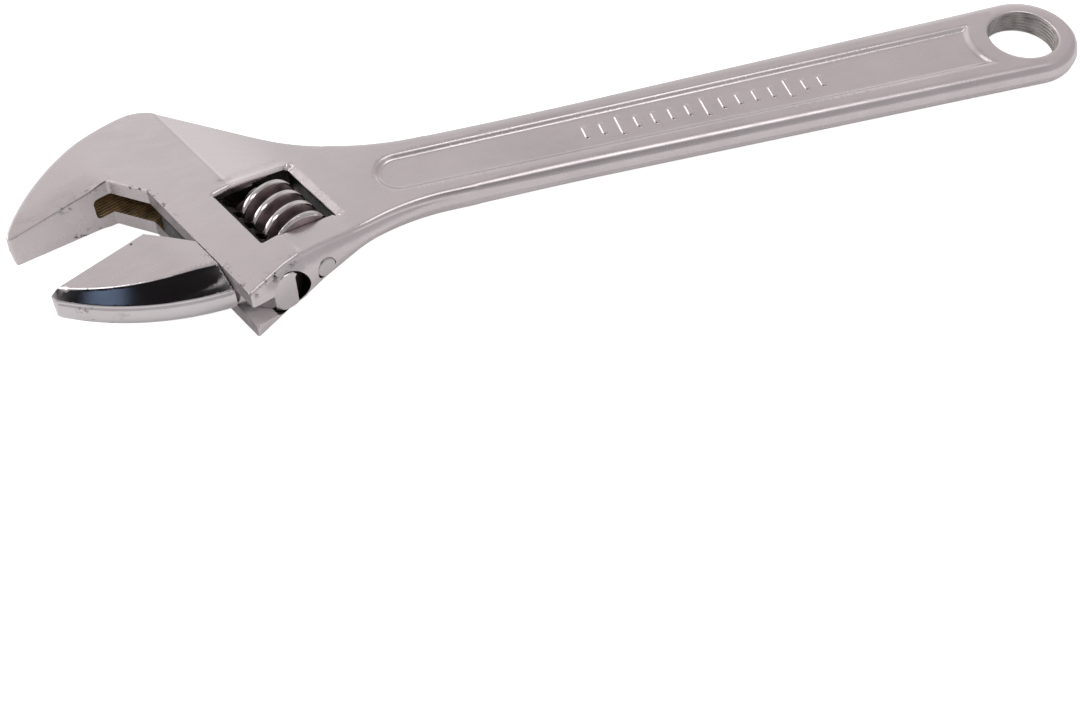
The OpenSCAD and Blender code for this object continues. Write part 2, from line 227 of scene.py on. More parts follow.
def plate(name, outer, holes, height, extra, spacing, belly, flash=0.0):
    """A plate that is the same above and below z = 0: flat outlines, a height at every point of
    its face, rounded edges, and walls between the two faces that bulge by belly(points). Where they
    bulge at all they also carry the ridge that the forging dies left, as high as flash."""
    edges = [outer] + holes
    loops = [e.loop for e in edges]
    starts = np.concatenate(loops)
    ends = np.concatenate([e.ends for e in edges])

    def within(points):
        keep = inside(points, outer.loop)
        for hole in holes:
            keep &= ~inside(points, hole.loop)
        return points[keep]

    low, high = outer.loop.min(0), outer.loop.max(0)
    xs = np.arange(low[0], high[0], spacing)
    ys = np.arange(low[1], high[1], spacing * math.sqrt(3) / 2)
    grid = np.array([[x + (k % 2) * spacing / 2, y] for k, y in enumerate(ys) for x in xs])
    inner = []
    clear = 0.05
    for group, gap in [(grid, spacing * 0.6)] + [(p, 0.12) for p in extra]:
        group = within(group)
        d, _ = distance(group, starts, ends)
        reach = np.zeros(len(group))
        if gap > clear * 4:
            for e in edges:
                near, which = distance(group, e.loop, e.ends)
                reach = np.maximum(reach, np.where(near < e.radius[which] * 1.4 + gap, 1, 0))
        group = group[(d > gap) & (reach < 1)]
        inner.append(group)
    for e in edges:
        for row in e.rows():
            expected, _ = distance(row, e.loop, e.ends)
            d, _ = distance(row, starts, ends)
            ok = (d > np.maximum(expected * 0.9, clear))
            inner.append(within(row[ok]))
    points = np.concatenate(loops + inner)
    constraint, at = [], 0
    for loop in loops:
        n = len(loop)
        constraint += [(at + k, at + (k + 1) % n) for k in range(n)]
        at += n
    flat, _, tris, _, _, _ = delaunay_2d_cdt([Vector(p) for p in points], constraint, [], 0, 1e-4)
    flat = np.array([tuple(p) for p in flat])
    tris = np.array([tuple(t) for t in tris if len(t) == 3])
    middle = flat[tris].mean(1)
    keep = inside(middle, outer.loop)
    for hole in holes:
        keep &= ~inside(middle, hole.loop)
    tris = tris[keep]
    a, b, c = flat[tris[:, 0]], flat[tris[:, 1]], flat[tris[:, 2]]
    turned = ((b - a)[:, 0] * (c - a)[:, 1] - (b - a)[:, 1] * (c - a)[:, 0]) < 0
    tris[turned] = tris[turned][:, ::-1]
    used, tris = np.unique(tris, return_inverse=True)
    tris = tris.reshape(-1, 3)
    flat = flat[used]

    z = height(flat)
    drop = np.zeros(len(flat))
    for e in edges:
        drop = np.maximum(drop, e.drop(flat)[0])
    z = z - drop

    sides = np.concatenate([tris[:, [0, 1]], tris[:, [1, 2]], tris[:, [2, 0]]])
    keys = {tuple(s) for s in sides.tolist()}
    rim = [s for s in sides.tolist() if (s[1], s[0]) not in keys]
    rim_verts = sorted({k for s in rim for k in s})
    slot = {k: i for i, k in enumerate(rim_verts)}
    levels = [0.92, 0.78, 0.6, 0.4, 0.2, 0.06, -0.06, -0.2, -0.4, -0.6, -0.78, -0.92]
    n = len(flat)
    verts = [np.column_stack([flat, z]), np.column_stack([flat, -z])]
    rim_flat, rim_z = flat[rim_verts], z[rim_verts]
    out = belly(rim_flat)
    bulge = np.linalg.norm(out, axis=1)[:, None]
    ridge = out / np.maximum(bulge, 1e-6) * (bulge > 0.05) * flash
    for s in levels:
        at = rim_flat + out * (1 - s * s) + ridge * np.exp(-(rim_z[:, None] * s / 0.5) ** 2)
        verts.append(np.column_stack([at, rim_z * s]))
    faces = tris.tolist() + (tris[:, ::-1] + n).tolist()
    m = len(rim_verts)
    for p, q in rim:
        i, j = slot[p], slot[q]
        left = [p] + [2 * n + k * m + i for k in range(len(levels))] + [p + n]
        right = [q] + [2 * n + k * m + j for k in range(len(levels))] + [q + n]
        for k in range(len(left) - 1):
            faces.append([right[k], left[k], left[k + 1], right[k + 1]])
    return make_mesh(name, np.concatenate(verts), faces)


# ---------------------------------------------------------------- making meshes

def make_mesh(name, verts, faces, smooth_angle=32):
    mesh = bpy.data.meshes.new(name)
    mesh.from_pydata((np.asarray(verts) * MM).tolist(), [], faces)
    bm = bmesh.new()
    bm.from_mesh(mesh)
    bmesh.ops.remove_doubles(bm, verts=bm.verts, dist=0.002 * MM)
    bmesh.ops.dissolve_degenerate(bm, edges=bm.edges, dist=0.001 * MM)
    bmesh.ops.recalc_face_normals(bm, faces=bm.faces)
    bm.to_mesh(mesh)
    bm.free()
    obj = bpy.data.objects.new(name, mesh)
    bpy.context.scene.collection.objects.link(obj)
    shade(obj, smooth_angle)
    return obj


def shade(obj, smooth_angle=32):
    obj.data.shade_smooth()
    obj.data.set_sharp_from_angle(angle=math.radians(smooth_angle))


def along_v(u, v, z):
    """Places head coordinates, given as equal arrays, in the frame."""
    u, v, z = np.broadcast_arrays(u, v, z)
    flat = CORNER + u[..., None] * U_AXIS + v[..., None] * V_AXIS
    return np.concatenate([flat, z[..., None]], -1)


def grid_faces(rows, columns):
    """Faces between rings of points, each ring closed."""
    faces = []
    for i in range(rows - 1):
        for j in range(columns):
            m = (j + 1) % columns
            faces.append([i * columns + j, i * columns + m, (i + 1) * columns + m, (i + 1) * columns + j])
    return faces


def lathe(name, centre_u, profile, count=96):
    """Turns a profile of (v, radius) about a line along v and closes both ends."""
    angles = np.arange(count) * 2 * math.pi / count
    rings = []
    for v, r in profile:
        rings.append(along_v(centre_u + r * np.cos(angles), np.full(count, float(v)), r * np.sin(angles)))
    ends = [list(range(count))[::-1], list(range(count * (len(profile) - 1), count * len(profile)))]
    return make_mesh(name, np.concatenate(rings), grid_faces(len(profile), count) + ends)


def prism(name, loop, levels, place):
    """A straight prism over a closed outline, with place(a, b, t) giving its points in the frame."""
    n = len(loop)
    loop = np.array(loop, float)
    verts = np.concatenate([place(loop[:, 0], loop[:, 1], np.full(n, float(t))) for t in levels])
    ends = [list(range(n))[::-1], list(range(n * (len(levels) - 1), n * len(levels)))]
    return make_mesh(name, verts, grid_faces(len(levels), n) + ends)


def combine(obj, others, operation):
    """Joins or cuts meshes and removes the second ones, whose surfaces keep their materials."""
    for other in others:
        mod = obj.modifiers.new("cut", "BOOLEAN")
        mod.operation = operation
        mod.object = other
        mod.solver = "EXACT"
        mod.material_mode = "TRANSFER"
        graph = bpy.context.evaluated_depsgraph_get()
        mesh = bpy.data.meshes.new_from_object(obj.evaluated_get(graph))
        obj.modifiers.clear()
        old, obj.data = obj.data, mesh
        bpy.data.meshes.remove(old)
        bpy.data.objects.remove(other)
    obj.data.name = obj.name
    shade(obj)
    return obj


# ---------------------------------------------------------------- the forged body

SLOPE_RUN = 20.0            # from the thick band down to the handle
CREASE = 0.26               # step where the slope starts
HEEL_BULGE = ((5.9, 0.1), (8, 1.0), (12, 2.6), (17, 3.2), (22, 3.0),
              (29, 2.3), (42, 1.3), (60, 0.6), (80, 0.14))  # how far the heel bulges out, by u


def body_height(points):
    """Half the body's thickness before its edges are rounded."""
    u, v = head_uv(points)
    jaw = HEAD_HALF + JAW_TAPER * soft_min(u, np.zeros_like(u), 3.0)
    jaw_side = smoothstep(-1, -5, u) * np.clip(1 + v / 6.5, 0, 1) ** 2
    past = np.maximum(u - BAND_U, 0)
    slope = HEAD_HALF - CREASE - (HEAD_HALF - CREASE - HANDLE_HALF) * past / SLOPE_RUN
    slope = -soft_min(-slope, np.full_like(slope, -HANDLE_HALF), 1.0)
    slope = np.where(past > SLOPE_RUN + 4, HANDLE_HALF, slope)
    step = smoothstep(BAND_U - 0.4, BAND_U + 1.2, u)
    groove = 0.05 * np.exp(-((u - BAND_U - 0.3) / 0.7) ** 2) * smoothstep(52, 48, v)
    z = jaw * (1 - step) + slope * step - 0.5 * jaw_side - groove
    return z + window_rim(u, v) - recess_depth(points) + bar_height(points)


def window_rim(u, v):
    """The lip that the forging die left along the window's upper side, and a nick at its corner."""
    up = WINDOW_V[0] - v
    far = WORM_U + WINDOW_HALF
    run = smoothstep(BAND_U - 1, BAND_U + 1.5, u) * smoothstep(far + 1.5, far - 1, u)
    lip = 0.3 * smoothstep(1.7, 1.1, np.abs(up - 0.2))
    valley = 0.28 * np.exp(-((up - 2.6) / 0.9) ** 2)
    nick = 0.4 * np.exp(-((u - BAND_U) ** 2 + (v - 19.9) ** 2) / 0.55)
    return (lip - valley) * run - nick - window_bevel(u, v)


BEVEL_W = 2.4               # the flat along the window's side nearest the handle
BEVEL_DROP = 1.4


def window_bevel(u, v):
    """The flat that was ground along the window's side nearest the handle."""
    off = u - (WORM_U + WINDOW_HALF)
    along = smoothstep(WINDOW_V[0] - 0.9, WINDOW_V[0], v) * smoothstep(WINDOW_V[1] + 0.9, WINDOW_V[1], v)
    return BEVEL_DROP * along * np.clip(1 - off / BEVEL_W, 0, 1) * (off > -0.5)


RECESS_DEPTH = 0.9
RECESS_X = CORNER[0] + 73.7     # the centre and radius of its round end
RECESS_R = 6.5
RECESS_END_HALF = 8.4           # its half width if it ran on to the hang hole
RECESS_END_R = 16.25            # its other end, an arc about the hang hole
RECESS_SPREAD = (RECESS_END_HALF - RECESS_R) / (0 - RECESS_X)


def recess_inside(points):
    """Distance into the handle's recess from its nearest side, negative outside it."""
    x, y = points[:, 0], points[:, 1]
    side = RECESS_R + RECESS_SPREAD * (x - RECESS_X) - np.abs(y)
    round_end = RECESS_R - np.hypot(x - RECESS_X, y)
    side = np.where(x < RECESS_X, round_end, side)
    return np.where(x > 0, -5.0, np.minimum(side, np.hypot(x, y) - RECESS_END_R))


def recess_depth(points):
    return RECESS_DEPTH * smoothstep(-0.6, 1.25, recess_inside(points))


BAR_COUNT = 15
BAR_PITCH = 5.0
BARS_X = -99.0              # the middle of the row
BAR_HALF_W = 0.8
BAR_RISE = 0.38


def bars():
    """Centre and half length of each raised bar on the recess floor."""
    for k in range(BAR_COUNT):
        yield BARS_X + (k - (BAR_COUNT - 1) / 2) * BAR_PITCH, 4.0 if k % 5 == 2 else 2.5


def bar_height(points):
    x, y = points[:, 0], points[:, 1]
    rise = np.zeros(len(points))
    for centre, half in bars():
        near = np.abs(x - centre) < 2
        reach = np.hypot(x - centre, np.maximum(np.abs(y) - half + BAR_HALF_W, 0))
        bar = 1 - smoothstep(BAR_HALF_W - 0.35, BAR_HALF_W + 0.1, reach)
        rise = np.where(near, np.maximum(rise, bar), rise)
    return rise * BAR_RISE


def body_outline(step):
    def corner(u, v, r):
        return (*head_point(u, v), r)
    return rounded([
        corner(TIP_U, 0, 0.5),
        corner(TIP_U - 0.1, -2.0, 1.2),
        corner(TIP_U + 17.7, -19, 59),
        corner(BAND_U - 2.6, -19.1, 12),
        (CORNER[0] + 61.6, NECK_HALF, 77),
        (NECK_X + 30, NECK_HALF + 0.6, 0),
        (EYE_X, HANDLE_END_HALF, 60),
        (EYE_R, EYE_R, EYE_R - 0.5),
        (EYE_R, -EYE_R, EYE_R - 0.5),
        (EYE_X, -HANDLE_END_HALF, 60),
        (NECK_X + 30, -NECK_HALF - 0.6, 0),
        (CORNER[0] + 70.2, -NECK_HALF + 0.1, 60),
        corner(29.5, 53.1, 20),
        corner(17.5, 54.6, 14),
        corner(RELIEF_U, LIP_V, 0.4),
        corner(RELIEF_U, RELIEF_V, 0.5),
        corner(0, 0, 0.7),
    ], step)


def body_edge_radius(loop):
    """Crisp where the jaws and the slide face were machined, soft where the forging shows."""
    u, v = head_uv(loop)
    x, y = loop.T
    forged = np.full(len(loop), 1.7)
    forged = np.where(u < 60, 1.0 + 0.7 * smoothstep(30, 60, u), forged + 0.9 * smoothstep(60, 100, u))
    heel = (v > 20) & (u < 75)
    forged = np.where(heel, 0.9 + 0.8 * smoothstep(28, 75, u), forged)
    machined = (v > -0.6) & (v < LIP_V - 0.3) & (u < RELIEF_U + 0.3)
    return np.where(machined, 0.2, forged)


def bar_ring(centre, half, grow):
    """Points round a raised bar, which has round ends, at a distance from its side."""
    a, b = BAR_HALF_W + grow, half + grow
    return rounded([(centre + i * a, j * b, a - 0.02) for i, j in ((-1, -1), (1, -1), (1, 1), (-1, 1))], 0.4)


def body_detail_points():
    """Extra points where the face changes quickly: the crease, the recess's side and the bars."""
    crease = [head_point(BAND_U + off, v) for off in (-0.6, -0.3, 0, 0.3, 0.6, 1.0, 1.6, 2.4)
              for v in np.arange(-22, 60, 0.6)]
    yield np.array(crease)
    bevel = [head_point(WORM_U + WINDOW_HALF + off, v) for off in (0.7, 1.3, 1.9, 2.3, 2.5, 3.0)
             for v in np.arange(WINDOW_V[0] - 1.2, WINDOW_V[1] + 1.2, 0.5)]
    yield np.array(bevel)
    for off in (-0.5, -0.25, 0, 0.25, 0.5, 0.75, 1.1, 1.5):
        r = RECESS_R - off
        t = np.arange(RECESS_X, -5, 0.8)
        upper = np.stack([t, r + RECESS_SPREAD * (t - RECESS_X)], -1)
        a = np.linspace(math.pi / 2, 3 * math.pi / 2, 34)
        end = np.array([RECESS_X, 0]) + r * np.stack([np.cos(a), np.sin(a)], -1)
        b = np.linspace(math.pi - 0.62, math.pi + 0.62, 42)
        arc = (RECESS_END_R + off) * np.stack([np.cos(b), np.sin(b)], -1)
        line = np.concatenate([upper, upper * [1, -1], end, arc])
        ok = np.abs(recess_inside(line) - off) < 0.12
        yield line[ok]
    for x, half in bars():
        for grow in (-0.65, -0.45, -0.25, -0.05, 0.12, 0.3):
            yield bar_ring(x, half, grow)
        yield np.stack([np.full(9, x), np.linspace(-half + 0.8, half - 0.8, 9)], -1)


def across_window(u, v):
    """Whether points are over the window or on its walls."""
    return (np.abs(u - WORM_U) < WINDOW_HALF + 0.1) & (v > WINDOW_V[0] - 0.1) & (v < WINDOW_V[1] + 0.1)


def window_edge_radius(loop):
    u, v = head_uv(loop)
    upper = smoothstep(WINDOW_V[0] + 1.2, WINDOW_V[0] + 0.1, v)
    right = smoothstep(WINDOW_HALF - 1.2, WINDOW_HALF - 0.1, u - WORM_U)
    return 0.5 + 0.6 * upper * (1 - right) - 0.1 * right


def make_body():
    outer = Edge(body_outline(0.75), body_edge_radius)
    hole = Edge(circle((0, 0), HOLE_R, 0.6), lambda loop: np.full(len(loop), 0.8), -1)
    window_corners = [(*head_point(WORM_U + a * WINDOW_HALF, v), 0.5)
                      for a, v in ((-1, WINDOW_V[0]), (1, WINDOW_V[0]), (1, WINDOW_V[1]), (-1, WINDOW_V[1]))]
    window = Edge(rounded(window_corners, 0.6), window_edge_radius, -1)

    def parting_line(points):
        u, v = head_uv(points)
        machined = ((v > -0.6) & (u < RELIEF_U + 0.3)) | (np.hypot(points[:, 0], points[:, 1]) < HOLE_R + 1)
        d, which = distance(points, outer.loop, outer.ends)
        out = -inward(outer.loop)[which]
        heel = (v > 30) & (u > RELIEF_U + 0.2) & (u < 80)
        belly = np.where(heel, np.interp(u, *zip(*HEEL_BULGE)), 0.14)
        return out * np.where(machined | across_window(u, v), 0, belly)[:, None]

    body = plate("wrench_forging", outer, [hole, window], body_height, list(body_detail_points()), 1.3,
                 parting_line, 0.16)
    past = 12           # how far the cutters reach beyond the lip
    shade_v = 22         # beyond this the bore's wall is painted near black, as shade with some grease
    steps = [BORE_END_V, 6, 14, shade_v, 30, 38, 46, LIP_V - 2, LIP_V + past]
    off = 0.15          # keeps the bore's rings clear of the slot's
    bore = lathe("bore", ROD_U, [(v + off, ROD_R + 0.1) for v in steps], count=90)
    section = rounded([(SLOT_START_U, -SLOT_HALF, SLOT_CORNER_R), (ROD_U, -SLOT_HALF, 0),
                       (ROD_U, SLOT_HALF, 0), (SLOT_START_U, SLOT_HALF, SLOT_CORNER_R)], 3.0)
    slot = prism("slot", section, steps, lambda a, b, t: along_v(a, t, b))
    pin_hole = lathe("pin_hole", WORM_U, [(PIN_V[0] - 0.5, PIN_R + 0.03), (PIN_V[1] - 0.8, PIN_R + 0.03),
                                          (PIN_V[1] - 0.3, PIN_R + 0.32), (LIP_V + past, PIN_R + 0.32)])
    coat(body, forged)
    coat(slot, slot_steel)
    # The bore's wall is painted near black as shade, with some grease; nearer the jaw it takes the slot's
    # brown.
    coat(bore, grease_and_shade_steel)
    paint(bore, slot_steel, lambda centres, normals: head_uv(centres)[1] < shade_v)
    # The pin's hole is painted near black, as shade round the pin.
    coat(pin_hole, grease_and_shade_steel)
    return combine(body, [slot, bore, pin_hole], "DIFFERENCE")


# ---------------------------------------------------------------- the sliding jaw

BLADE_R = 68.9
BLADE_H = 27.7
BLADE_BACK_U = RELIEF_U - 0.12
BLADE_TIP_U = TIP_U - 1.1
BLADE_RELIEF = (8.5, 11.0)  # the corner cut off next to the slide face, along u and v
BLADE_EDGE_HALF = 3.0       # half the thickness of the outer edge
BEVEL_SLOPE = 1.15          # run of the bevel for each millimetre it rises
BELLY = 0.8                 # how far the blade's outer edge bulges
TONGUE_V = (12.5, 25.0)     # where the blade and the rod's web are joined, from the jaw's face


def blade_centre():
    u = BLADE_BACK_U + 19.9
    return u, OPENING + BLADE_H - math.sqrt(BLADE_R ** 2 - 19.9 ** 2)


def blade_outline(step):
    """The blade without the bulge of its outer edge."""
    cu, cv = blade_centre()
    r = BLADE_R - BELLY
    first = math.asin((BLADE_BACK_U - cu) / r)
    last = math.asin((BLADE_TIP_U + 0.35 - cu) / r)
    count = round(abs(last - first) * r / step)
    a = np.linspace(first, last, count)
    arc = np.stack([cu + r * np.sin(a), cv + r * np.cos(a)], -1)
    corners = [(BLADE_TIP_U, OPENING), (BLADE_BACK_U - BLADE_RELIEF[0], OPENING),
               (BLADE_BACK_U, OPENING + BLADE_RELIEF[1])]
    path = [corners[0], corners[1], corners[2], *arc]
    out = []
    for k, p in enumerate(path):
        q = np.array(path[(k + 1) % len(path)])
        p = np.array(p)
        pieces = max(1, round(float(np.linalg.norm(q - p)) / step))
        out += [p + (q - p) * i / pieces for i in range(pieces)]
    out = np.array(out)
    return CORNER + out[:, :1] * U_AXIS + out[:, 1:] * V_AXIS


def blade_arc_distance(points):
    u, v = head_uv(points)
    cu, cv = blade_centre()
    return (BLADE_R - BELLY) - np.hypot(u - cu, v - cv)


def blade_height(points):
    u, v = head_uv(points)
    top = HEAD_HALF - 0.03 + JAW_TAPER * soft_min(u, np.zeros_like(u), 3.0)
    arc = blade_arc_distance(points)
    scar = 0.16 * np.exp(-((arc - 1.9 - 0.14 * u) / 0.55) ** 2) * smoothstep(-9, -4, u) * smoothstep(6, 3, u)
    bevel = BLADE_EDGE_HALF + np.maximum(arc, 0) / BEVEL_SLOPE + scar
    return soft_min(top, bevel, 0.22)


def blade_edge_radius(loop):
    outer = np.abs(blade_arc_distance(loop)) < 0.2
    return np.where(outer, 0.35, 0.2)


def blade_detail_points():
    cu, cv = blade_centre()
    a = np.linspace(-0.9, -0.2, 110)
    for inset in np.arange(0.6, 6.4, 0.45):
        r = BLADE_R - BELLY - inset
        u, v = cu + r * np.sin(a), cv + r * np.cos(a)
        yield CORNER + u[:, None] * U_AXIS + v[:, None] * V_AXIS


def keyhole_rod(top, end):
    """The rod with the web that joins it to the blade, as one bar along v with chamfered ends."""
    meet = math.asin(WEB_HALF / ROD_R)
    turns = np.linspace(math.pi + meet, 3 * math.pi - meet, 73)
    loop = [(ROD_U + ROD_R * math.cos(a), ROD_R * math.sin(a)) for a in turns]
    for t in np.linspace(ROD_U + ROD_R * math.cos(turns[-1]), BLADE_BACK_U + 0.05, 6)[1:]:
        loop.append((t, WEB_HALF))
    loop.append((BLADE_BACK_U + 0.05, 0.0))
    for t in np.linspace(BLADE_BACK_U + 0.05, ROD_U + ROD_R * math.cos(turns[0]), 6)[:-1]:
        loop.append((t, -WEB_HALF))
    loop = np.array(loop)
    normal = inward(loop)
    rings = []
    for v, inset in ((top, 0.45), (top + 0.12, 0.18), (top + 0.45, 0),
                     (end - 0.45, 0), (end - 0.12, 0.18), (end, 0.45)):
        at = loop + normal * inset
        rings.append(along_v(at[:, 0], np.full(len(at), float(v)), at[:, 1]))
    count = len(loop)
    faces = grid_faces(len(rings), count)
    faces += [list(range(count))[::-1], list(range((len(rings) - 1) * count, len(rings) * count))]
    return make_mesh("rod", np.concatenate(rings), faces)


def make_jaw():
    outer = Edge(blade_outline(0.6), blade_edge_radius)

    def bulge(points):
        on_arc = np.abs(blade_arc_distance(points)) < 0.15
        u, v = head_uv(points)
        cu, cv = blade_centre()
        out = np.stack([u - cu, v - cv], -1)
        out /= np.linalg.norm(out, axis=1)[:, None]
        world = out[:, :1] * U_AXIS + out[:, 1:] * V_AXIS
        return world * np.where(on_arc, BELLY, 0)[:, None]

    blade = plate("jaw_blade", outer, [], blade_height, list(blade_detail_points()), 1.2, bulge)
    low_u, high_u = BLADE_BACK_U - 2, BLADE_BACK_U + 3
    low_v, high_v = OPENING + TONGUE_V[0], OPENING + TONGUE_V[1]
    tongue = prism("tongue", [(low_u, low_v), (high_u, low_v), (high_u, high_v), (low_u, high_v)],
                   (-WEB_HALF + 0.25, WEB_HALF - 0.25), along_v)
    top, end = OPENING + ROD_TOP, OPENING + ROD_END
    rod = keyhole_rod(top, end)
    gaps = []
    slant = LEAD / (2 * math.pi * (WORM_R - 0.6))
    reach = ROD_U + ROD_R + 1
    root = CREST_HALF + 0.3
    mouth = root + (reach - TOOTH_ROOT_U) * (THREAD_HALF - CREST_HALF) / (WORM_R - WORM_ROOT_R)
    mesh_v = THREAD_V + LEAD / 2
    first = math.ceil((top - mesh_v) / LEAD)
    last = math.floor((end - mesh_v) / LEAD)
    for k in range(first, last + 1):
        section = [(TOOTH_ROOT_U, -root), (reach, -mouth), (reach, mouth), (TOOTH_ROOT_U, root)]
        centre = mesh_v + k * LEAD
        gaps.append(prism("gap", section, (-9, 9), lambda a, b, t: along_v(a, centre + b - slant * t, t)))
    below = OPENING + ROD_END
    corner_u = BLADE_BACK_U + WEB_CUT[0]
    web_cut = prism("web_cut", [(BLADE_BACK_U - 1, below - WEB_CUT[1] - 1.2), (corner_u, below - 0.2),
                                (corner_u, below + 1), (BLADE_BACK_U - 1, below + 1)],
                    (-WEB_HALF - 1, WEB_HALF + 1), along_v)
    coat(blade, polished)
    # The tongue, the rod and its teeth are painted near black as shade, with some grease; the rod's end face
    # is chrome.
    coat(tongue, grease_and_shade_steel)
    coat(rod, grease_and_shade_steel)
    paint(rod, satin, lambda centres, normals: head_uv(centres)[1] > OPENING + ROD_END - 0.4)
    for gap in gaps:
        coat(gap, grease_and_shade_steel)
    coat(web_cut, satin)
    combine(rod, gaps + [web_cut], "DIFFERENCE")
    return combine(blade, [tongue, rod], "UNION")


# ---------------------------------------------------------------- worm, pin and spring

POCKET_DEPTH = 7.5
SPRING_R = (PIN_R + WORM_ROOT_R - 1.15) / 2
WIRE_R = 0.45
POCKET_R = SPRING_R + WIRE_R + 0.3


def thread_radius(angle, v):
    """The worm's outer radius at an angle about its axis, measured from +u towards +z."""
    along = v - THREAD_V - LEAD * angle / (2 * math.pi)
    off = np.abs((along + LEAD / 2) % LEAD - LEAD / 2)
    rise = np.clip((THREAD_HALF + 0.12 - off) / (THREAD_HALF + 0.24 - CREST_HALF), 0, 1)
    rise = 0.35 * rise + 0.65 * rise * rise * (3 - 2 * rise)
    crown = 0.15 * np.clip(off / CREST_HALF, 0, 1) ** 2
    return WORM_ROOT_R + (WORM_R - WORM_ROOT_R) * rise - crown


def make_worm():
    """The worm: a grid that follows its thread, with chamfered ends, its bore and the spring's pocket."""
    columns = 120
    per_turn = 40
    step = LEAD / per_turn
    angles = np.arange(columns + 1) * 2 * math.pi / columns
    rows = np.arange(-per_turn - 2, round(WORM_LEN / step) + per_turn + 3)
    v = WORM_V + np.clip(rows[:, None] * step + LEAD * (angles[None] / (2 * math.pi) - 1), 0, WORM_LEN)
    r = thread_radius(angles[None], v)
    end = np.minimum(v - WORM_V, WORM_V + WORM_LEN - v)
    r = np.minimum(r, WORM_R - 0.7 + 1.4 * end)
    outside = along_v(WORM_U + r * np.cos(angles), v, r * np.sin(angles))
    verts = [outside.reshape(-1, 3)]
    width = columns + 1
    faces = [[i * width + j, i * width + j + 1, (i + 1) * width + j + 1, (i + 1) * width + j]
             for i in range(len(rows) - 1) for j in range(columns)]
    at = len(rows) * width
    pocket_end, far_end = WORM_V + POCKET_DEPTH, WORM_V + WORM_LEN
    bore_r = PIN_R + 0.08
    profile = [(WORM_V, None), (WORM_V, POCKET_R), (pocket_end, POCKET_R),
               (pocket_end, bore_r), (far_end, bore_r), (far_end, None)]
    for ring_v, radius in profile:
        ring_v = np.full(width, ring_v)
        ring_r = np.full(width, radius)
        if radius is None:
            ring_r = np.minimum(thread_radius(angles, ring_v), WORM_R - 0.7)
        verts.append(along_v(WORM_U + ring_r * np.cos(angles), ring_v, ring_r * np.sin(angles)))
    for i in range(len(profile) - 1):
        for j in range(columns):
            k = at + i * width + j
            faces.append([k, k + 1, k + 1 + width, k + width])
    return make_mesh("worm_knurl", np.concatenate(verts), faces, 40)


def make_pin():
    top, end = PIN_V
    return lathe("worm_axle", WORM_U, [(top, PIN_R - 0.5), (top + 0.5, PIN_R), (end - 0.35, PIN_R),
                                       (end - 0.08, PIN_R - 0.25), (end, PIN_R - 0.9)], count=72)


def make_spring():
    sides, steps, turns = 12, 40, 5.5
    low = WINDOW_V[0] + WIRE_R + 0.12
    high = WORM_V + POCKET_DEPTH - WIRE_R - 0.12
    count = round(steps * turns)
    turn = np.arange(count + 1)[:, None] * 2 * math.pi / steps
    wire = np.arange(sides)[None] * 2 * math.pi / sides
    r = SPRING_R + WIRE_R * np.cos(wire)
    v = low + (high - low) * turn / (turns * 2 * math.pi) + WIRE_R * np.sin(wire)
    verts = along_v(WORM_U + r * np.cos(turn), v, r * np.sin(turn)).reshape(-1, 3)
    faces = grid_faces(count + 1, sides)
    faces += [list(range(sides)), list(range(count * sides, (count + 1) * sides))[::-1]]
    return make_mesh("friction_spring", verts, faces)


# ---------------------------------------------------------------- materials

def new_material(name):
    mat = bpy.data.materials.new(name)
    mat.use_nodes = True
    tree = mat.node_tree
    tree.nodes.clear()
    out = tree.nodes.new("ShaderNodeOutputMaterial")
    shader = tree.nodes.new("ShaderNodeBsdfPrincipled")
    tree.links.new(shader.outputs[0], out.inputs[0])
    return mat, tree, shader


def node(tree, kind, inputs=None, **settings):
    n = tree.nodes.new(kind)
    for key, value in settings.items():
        setattr(n, key, value)
    for key, value in (inputs or {}).items():
        if isinstance(value, bpy.types.NodeSocket):
            tree.links.new(value, n.inputs[key])
        else:
            n.inputs[key].default_value = value
    return n


def noise(tree, where, scale, detail=3, stretch=(1, 1, 1), roughness=0.55):
    spread = node(tree, "ShaderNodeMapping", {"Vector": where, "Scale": stretch})
    return node(tree, "ShaderNodeTexNoise", {"Vector": spread.outputs[0], "Scale": scale, "Detail": detail,
                                             "Roughness": roughness}).outputs["Fac"]


def ramp(tree, fac, stops, curve="LINEAR"):
    n = node(tree, "ShaderNodeValToRGB", {"Fac": fac})
    n.color_ramp.interpolation = curve
    while len(n.color_ramp.elements) < len(stops):
        n.color_ramp.elements.new(0.5)
    for e, (at, value) in zip(n.color_ramp.elements, stops):
        e.position = at
        e.color = (*value, 1) if isinstance(value, tuple) else (value, value, value, 1)
    return n.outputs["Color"]


def mix(tree, fac, under, colour):
    """The colour laid over another one where fac is 1."""
    return node(tree, "ShaderNodeMix", {0: fac, 6: under, 7: (*colour, 1)}, data_type="RGBA").outputs[2]


def math_node(tree, operation, a, b, clamp=False):
    return node(tree, "ShaderNodeMath", {0: a, 1: b}, operation=operation, use_clamp=clamp).outputs[0]


PIT_COLOUR = (0.05, 0.04, 0.035)
SLOPE_SHEEN = 1.22           # how much lighter the slope is painted than the flat faces, a painted sheen
